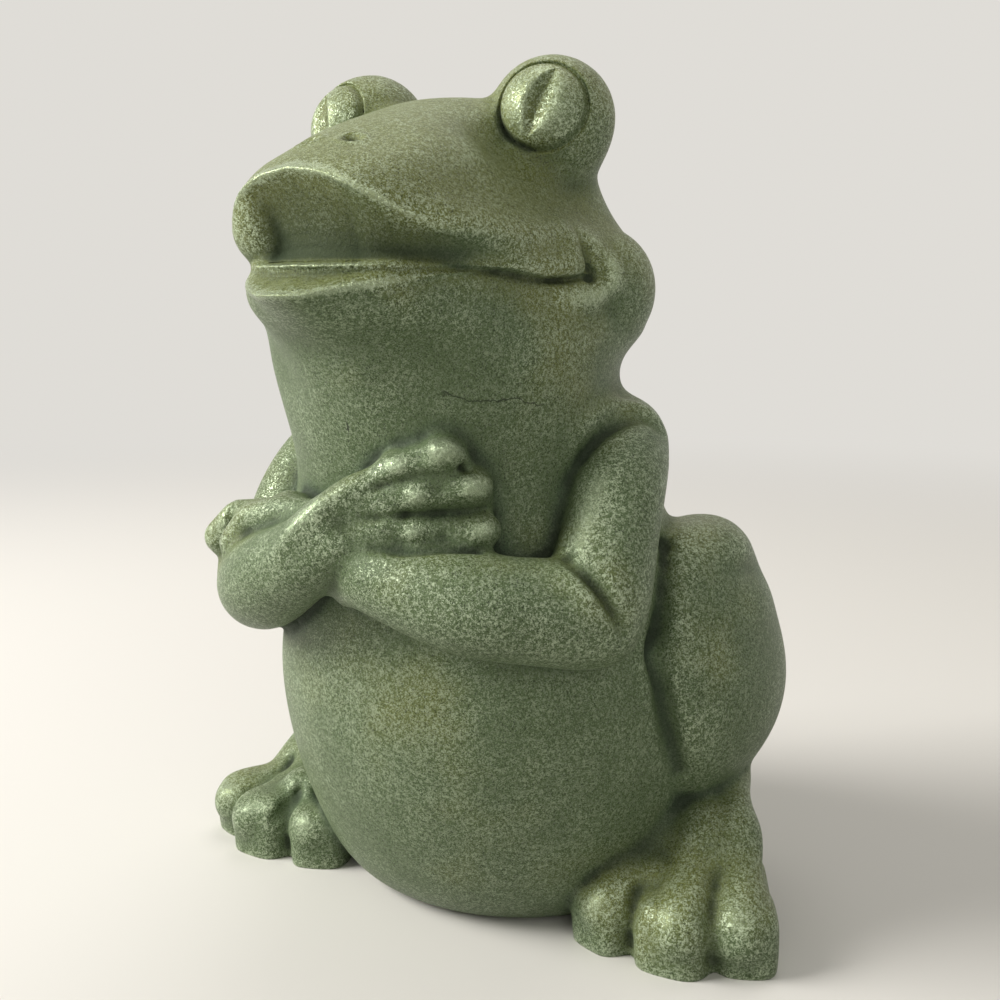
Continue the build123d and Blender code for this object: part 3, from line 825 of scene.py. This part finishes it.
def cast_frog(shape):
    """Runs all the nodes together as one skin, shapes it, and stores its faces' names and shade fields."""
    raw = raw_frog()
    mesh = modified(raw, "REMESH", mode="VOXEL", voxel_size=shape.grain, adaptivity=0.0)
    bpy.data.meshes.remove(raw)
    mesh.name = CASTING
    outer_skin(mesh)
    soften_creases(Clay(mesh), shape)
    refine(mesh, lambda p: (on_eye(p, 8.0) | near_lips(p) | near_nostrils(p)
                            | near_fingers(p) | near_toes(p)))
    refine(mesh, lambda p: on_eye(p, 6.6) | near_mouth_line(p) | near_nostrils(p))
    clay = Clay(mesh)
    shape_mouth(clay, shape)
    shape_nostrils(clay)
    shape_arms(clay)
    shape_creases(clay)
    shape_hands(clay)
    shape_legs(clay)
    shape_toes(clay)
    clay.relax(1)
    clay.settle()
    shape_eyes(clay, shape)
    clay.co[:, 2] = np.maximum(clay.co[:, 2], 0)
    clay.settle()
    label = name_faces(mesh)
    shade_fields(clay)
    layer = mesh.attributes.new("piece", "INT", "FACE")
    layer.data.foreach_set("value", label.astype(np.int32))
    return mesh


def piece_from_casting(name):
    """Cuts one node's share out of the casting, closes it and keeps the casting's own normals."""
    number = SKINS.index(name)
    bm = bmesh.new()
    bm.from_mesh(bpy.data.meshes[CASTING])
    layer = bm.faces.layers.int["piece"]
    others = [f for f in bm.faces if f[layer] != number]
    bmesh.ops.delete(bm, geom=others, context="FACES")
    if name in CORES:
        core = bm.verts.new(Vector(CORES[name]) * MM)
        for loop in [e.link_loops[0] for e in bm.edges if e.is_boundary]:
            bm.faces.new((loop.link_loop_next.vert, loop.vert, core))
    mesh = bpy.data.meshes.new("skin")
    bm.to_mesh(mesh)
    bm.free()
    if name not in CORES:
        skin = mesh
        mesh = modified(skin, "SOLIDIFY", thickness=SHELL, offset=-1.0, use_rim=True)
        bpy.data.meshes.remove(skin)
    mesh.name = name + "_cast"
    return add_piece(name + "_cast", mesh, (name,))


def add_piece(name, mesh, nodes):
    """Puts a finished mesh in the scene as a piece that stands for its nodes."""
    count = len(mesh.vertices)
    mesh.polygons.foreach_set("use_smooth", np.ones(len(mesh.polygons), bool))
    flat = np.empty(count * 3, np.float32)
    mesh.attributes["cast_normal"].data.foreach_get("vector", flat)
    mesh.normals_split_custom_set_from_vertices(flat.reshape(-1, 3).tolist())
    mesh.attributes.remove(mesh.attributes["cast_normal"])
    mesh.materials.clear()
    mesh.materials.append(patina())
    piece = bpy.data.objects.new(name, mesh)
    bpy.context.scene.collection.objects.link(piece)
    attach(piece, BODY)
    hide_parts(*nodes)
    return piece


class Tap:
    """A shader socket that can take part in sums."""

    def __init__(self, finish, socket):
        self.finish = finish
        self.socket = socket

    def math(self, operation, one, two, clamp=False):
        """A Math node on two values."""
        return self.finish.node("ShaderNodeMath", {"operation": operation, "use_clamp": clamp},
                                {0: one, 1: two})

    def __add__(self, other):
        return self.math("ADD", self, other)

    def __radd__(self, other):
        return self.math("ADD", other, self)

    def __sub__(self, other):
        return self.math("SUBTRACT", self, other)

    def __rsub__(self, other):
        return self.math("SUBTRACT", other, self)

    def __mul__(self, other):
        return self.math("MULTIPLY", self, other)

    def __rmul__(self, other):
        return self.math("MULTIPLY", other, self)

    def held(self):
        """The same value kept between 0 and 1."""
        return self.math("ADD", self, 0.0, True)


class Finish:
    """The nodes of a material or a world under construction."""

    def __init__(self, owner):
        self.owner = owner
        owner.use_nodes = True
        self.tree = owner.node_tree
        self.tree.nodes.clear()

    def node(self, kind, settings=None, inputs=None, out=0):
        """Adds a node with its settings and what its sockets take, and gives one of its outputs."""
        node = self.tree.nodes.new(kind)
        for key, value in (settings or {}).items():
            setattr(node, key, value)
        for key, value in (inputs or {}).items():
            if isinstance(value, Tap):
                self.tree.links.new(value.socket, node.inputs[key])
            else:
                node.inputs[key].default_value = value
        return Tap(self, node.outputs[out]) if node.outputs else None

    def step(self, value, low, high):
        """A soft step of a value from low to high."""
        return self.node("ShaderNodeMapRange", {"interpolation_type": "SMOOTHSTEP"},
                         {"Value": value, "From Min": low, "From Max": high})

    def mix(self, share, one, two):
        """One colour passing into another."""
        return self.node("ShaderNodeMix", {"data_type": "RGBA"}, {0: share, 6: one, 7: two}, out=2)

    def field(self, name):
        """A value stored on the mesh's points."""
        return self.node("ShaderNodeAttribute", {"attribute_name": name}, out=2)

    def absolute(self, value):
        """A value without its sign."""
        return self.node("ShaderNodeMath", {"operation": "ABSOLUTE"}, {0: value})

    def seen(self):
        """1 for the rays that show a thing to the camera, straight or by a reflection or through glass."""
        camera, glossy, through = (self.node("ShaderNodeLightPath", out=name) for name in
                                   ("Is Camera Ray", "Is Glossy Ray", "Is Transmission Ray"))
        return (camera + glossy + through).held()

    def noise(self, place, scale, detail=2.0, rough=0.5, warp=0.0):
        """A cloud of values between 0 and 1."""
        return self.node("ShaderNodeTexNoise", {}, {"Vector": place, "Scale": scale, "Detail": detail,
                                                   "Roughness": rough, "Distortion": warp})

    def hairline(self, value, middle, run, start, end):
        """A thin line where a value passes its middle, over a stretch of another."""
        off = self.absolute(value - middle)
        stretch = self.step(run, start, start + 0.001) * self.step(run, end, end - 0.001)
        return self.step(off, 0.00016, 0.00006) * stretch

    def strands(self, place, scale):
        """Short fine worm-like strands."""
        worm = self.noise(place, scale, 1.0, 0.5, 0.7)
        line = self.step(self.absolute(worm - 0.5), 0.085, 0.03)
        return line * self.step(self.noise(place, 0.6 * scale, 1.0), 0.47, 0.60)


def paint(colour):
    """A colour with full alpha for a socket."""
    return (*colour, 1.0)


def patina():
    """Green cast stone: worm-like specks, painted shade in the creases and under the lips, silver on the
    rubbed edges that also paints highlights, and more yellow green on upward faces as painted light from
    above.
    """
    ready = bpy.data.materials.get("green_patina_painted_light_and_shade")
    if ready:
        return ready
    tones = bpy.context.scene.frog_finish
    f = Finish(bpy.data.materials.new("green_patina_painted_light_and_shade"))
    place = f.node("ShaderNodeTexCoord", out=3)
    fine, middle, broad = (f.field(name) for name in ("edge_fine", "edge_mid", "edge_broad"))
    # Painted shade under the lips.
    painted_shade = f.field("painted_lip_shade")
    # Rubbed metal marks that also paint highlights.
    polish_and_highlight = f.field("polish_and_highlight")
    other = f.node("ShaderNodeVectorMath", {"operation": "ADD"}, {0: place, 1: (0.31, 0.17, 0.23)})
    cloud = f.noise(place, 45.0, 3.0, 0.55)
    blotch = f.noise(place, 170.0, 4.0, 0.6)
    speck = f.noise(place, 5200.0, 2.0, 0.6)
    grit = f.noise(other, 6500.0, 2.0, 0.6)
    facing = f.node("ShaderNodeNewGeometry", out=1)
    upward = f.node("ShaderNodeSeparateXYZ", {}, {0: facing}, out=2)
    across, deep, tall = (f.node("ShaderNodeSeparateXYZ", {}, {0: place}, out=k) for k in range(3))
    # Moss follows a random cloud, more on the head, and more on upward faces as painted light from above.
    high = 0.22 * f.step(tall, 0.070, 0.095)
    colour = f.mix(f.step(cloud + 0.15 * upward + high, 0.48, 0.78), paint(tones.sage), paint(tones.moss_and_top_light))
    sunk = f.step(0.3 * (blotch - 0.5) - broad, 0.15, 1.3)
    colour = f.mix(0.6 * sunk, colour, paint(tones.teal))
    wear = f.step(cloud + 0.5 * (blotch - 0.5), 0.36, 0.60)
    proud = f.step(middle, -0.15, 0.25)
    strand = f.strands(place, 3000.0) + f.strands(other, 3900.0)
    light = (0.9 * strand + f.step(speck, 0.57, 0.65)).held()
    dark = f.step(speck + 0.06 * (blotch - 0.5), 0.45, 0.35)
    colour = f.mix(0.80 * dark, colour, paint(tones.soot_and_painted_shade))
    colour = f.mix((0.40 + 0.42 * wear) * (0.45 + 0.55 * proud) * light, colour, paint(tones.silver_and_highlight))
    # Painted shade: the creases are darkened towards soot.
    crease_shade = f.step(0.10 * (blotch - 0.5) - middle, 0.04, 0.36)
    colour = f.mix(0.85 * crease_shade, colour, paint(tones.soot_and_painted_shade))
    # Painted shade under the lips, in a dark green.
    colour = f.mix(0.80 * painted_shade, colour, paint([2.0 * c for c in tones.soot_and_painted_shade]))
    # Rubbed silver on proud edges, with painted highlights where the casting is marked polished.
    rub_and_highlight_amount = middle + 0.4 * fine + 0.22 * (blotch - 0.5) + 0.35 * (light - 0.4) + 0.45 * polish_and_highlight
    rub_and_highlight = f.step(rub_and_highlight_amount, 0.10, 0.45)
    colour = f.mix((0.40 + 0.42 * light) * rub_and_highlight, colour, paint(tones.silver_and_highlight))
    bend = 0.0035 * (f.noise(place, 240.0, 4.0, 0.7) - 0.5)
    crack = f.hairline(tall + 0.15 * across + bend, 0.0748, across, 0.0105, 0.0200)
    crack = crack + f.hairline(across + bend, -0.0008, tall, 0.0676, 0.0704)
    front = f.step(deep, -0.024, -0.028)
    colour = f.mix(0.8 * (crack * front).held(), colour, paint(tones.soot_and_painted_shade))
    rough = 0.42 + 0.20 * (grit - 0.5) - 0.12 * rub_and_highlight + 0.25 * crease_shade + 0.30 * painted_shade
    height = 0.45 * speck + 0.20 * grit + 0.50 * light
    bump = f.node("ShaderNodeBump", {}, {"Strength": 0.6, "Distance": 0.00020, "Height": height})
    shader = f.node("ShaderNodeBsdfPrincipled", {}, {
        "Base Color": colour, "Roughness": rough, "Metallic": 0.10 + 0.50 * rub_and_highlight, "Normal": bump, "IOR": 1.5,
        "Specular IOR Level": 0.3})
    f.node("ShaderNodeOutputMaterial", {}, {0: shader})
    return f.owner


class FROG_OT_cast(bpy.types.Operator):
    """Run the nodes together as one casting, ready to be cut into pieces"""
    bl_idname = "frog.cast"
    bl_label = "Cast the frog"

    def execute(self, context):
        cast_frog(context.scene.frog_shape)
        return {"FINISHED"}


def cut_pieces(names):
    """Cuts the named pieces from the casting, for an operator."""
    for name in names:
        piece_from_casting(name)
    return {"FINISHED"}


class FROG_OT_torso(bpy.types.Operator):
    """Cut the torso from the casting"""
    bl_idname = "frog.torso"
    bl_label = "Torso"

    def execute(self, context):
        return cut_pieces(["torso"])


class FROG_OT_head(bpy.types.Operator):
    """Cut the head and the lower jaw from the casting"""
    bl_idname = "frog.head"
    bl_label = "Head and jaw"

    def execute(self, context):
        return cut_pieces(["head", "lower_jaw"])


class FROG_OT_eyes(bpy.types.Operator):
    """Cut the two ringed eyes from the casting"""
    bl_idname = "frog.eyes"
    bl_label = "Eyes"

    def execute(self, context):
        return cut_pieces(["left_eye", "right_eye"])


class FROG_OT_arms(bpy.types.Operator):
    """Cut the upper arms, forearms and hands from the casting"""
    bl_idname = "frog.arms"
    bl_label = "Arms and hands"

    def execute(self, context):
        return cut_pieces([f"{side}_{part}" for side in ("left", "right")
                           for part in ("upper_arm", "forearm", "hand")])


class FROG_OT_legs(bpy.types.Operator):
    """Cut the haunches and feet from the casting"""
    bl_idname = "frog.legs"
    bl_label = "Haunches and feet"

    def execute(self, context):
        return cut_pieces([f"{side}_{part}" for side in ("left", "right") for part in ("haunch", "foot")])


def lay_floor(scene, stage):
    """A pale floor that passes into the wall's colour away from the figure."""
    bm = bmesh.new()
    bmesh.ops.create_grid(bm, x_segments=1, y_segments=1, size=3.0)
    mesh = bpy.data.meshes.new("floor")
    bm.to_mesh(mesh)
    bm.free()
    floor = bpy.data.objects.new("floor", mesh)
    scene.collection.objects.link(floor)
    f = Finish(bpy.data.materials.new("pale_floor"))
    place = f.node("ShaderNodeTexCoord", out=3)
    away = f.node("ShaderNodeVectorMath", {"operation": "LENGTH"}, {0: place}, out=1)
    tint = f.mix(f.seen(), paint([0.45 * c for c in stage.floor]), paint(stage.floor))
    table = f.node("ShaderNodeBsdfPrincipled", {}, {"Base Color": tint, "Roughness": 0.6})
    glow = f.node("ShaderNodeEmission", {}, {"Color": paint(stage.wall), "Strength": 1.0})
    cover = f.node("ShaderNodeMixShader", {}, {0: f.step(away, 0.16, 0.60), 1: table, 2: glow})
    f.node("ShaderNodeOutputMaterial", {}, {0: cover})
    mesh.materials.append(f.owner)


def light_room(scene, stage):
    """A soft light from all round, and the lamps."""
    f = Finish(bpy.data.worlds.new("soft_room"))
    room = f.node("ShaderNodeBackground", {}, {"Color": (0.92, 0.90, 0.86, 1), "Strength": stage.room})
    wall = f.node("ShaderNodeBackground", {}, {"Color": paint(stage.wall), "Strength": 1.0})
    sky = f.node("ShaderNodeMixShader", {}, {0: f.seen(), 1: room, 2: wall})
    f.node("ShaderNodeOutputWorld", {}, {0: sky})
    scene.world = f.owner
    for name, place, size, watts, colour in LAMPS:
        lamp = bpy.data.lights.new(name, "AREA")
        lamp.energy = watts
        lamp.size = size
        lamp.color = colour
        holder = bpy.data.objects.new(name, lamp)
        holder.location = place
        aim = Vector(LAMP_AIM) - Vector(place)
        holder.rotation_euler = aim.to_track_quat("-Z", "Y").to_euler()
        scene.collection.objects.link(holder)


def place_camera(scene, stage):
    """The camera, where the photograph was taken from."""
    lens = bpy.data.cameras.new("camera")
    lens.sensor_width = 36
    lens.lens = stage.lens
    lens.clip_start = 0.005
    lens.clip_end = 20
    camera = bpy.data.objects.new("camera", lens)
    camera.location = CAMERA_PLACE
    camera.rotation_euler = CAMERA_TURN
    scene.collection.objects.link(camera)
    scene.camera = camera


class FROG_OT_stage(bpy.types.Operator):
    """Lay the floor and set up the light and the camera"""
    bl_idname = "frog.stage"
    bl_label = "Stage"

    def execute(self, context):
        scene = context.scene
        for build in (lay_floor, light_room, place_camera):
            build(scene, scene.frog_stage)
        scene.view_settings.view_transform = "Standard"
        return {"FINISHED"}


class FROG_PT_panel(bpy.types.Panel):
    """Lists the steps that make the frog"""
    bl_idname = "FROG_PT_panel"
    bl_label = "Cast frog"
    bl_space_type = "VIEW_3D"
    bl_region_type = "UI"
    bl_category = "Frog"

    def draw(self, context):
        for step in STEPS:
            self.layout.operator(step.bl_idname)
        for group in (context.scene.frog_shape, context.scene.frog_finish, context.scene.frog_stage):
            for key in group.bl_rna.properties.keys():
                if key not in {"rna_type", "name"}:
                    self.layout.prop(group, key)


GROUPS = {"frog_shape": FrogShape, "frog_finish": FrogFinish, "frog_stage": FrogStage}
STEPS = (FROG_OT_cast, FROG_OT_torso, FROG_OT_head, FROG_OT_eyes, FROG_OT_arms, FROG_OT_legs, FROG_OT_stage)


def register():
    for made in (*GROUPS.values(), *STEPS, FROG_PT_panel):
        bpy.utils.register_class(made)
    for key, group in GROUPS.items():
        setattr(bpy.types.Scene, key, PointerProperty(type=group))


def unregister():
    for key in GROUPS:
        delattr(bpy.types.Scene, key)
    for made in (FROG_PT_panel, *reversed(STEPS), *GROUPS.values()):
        bpy.utils.unregister_class(made)


def main():
    register()
    bpy.ops.frog.cast()
    bpy.ops.frog.torso()
    bpy.ops.frog.head()
    bpy.ops.frog.eyes()
    bpy.ops.frog.arms()
    bpy.ops.frog.legs()
    bpy.data.meshes.remove(bpy.data.meshes[CASTING])
    bpy.ops.frog.stage()


if __name__ == "__main__":
    main()
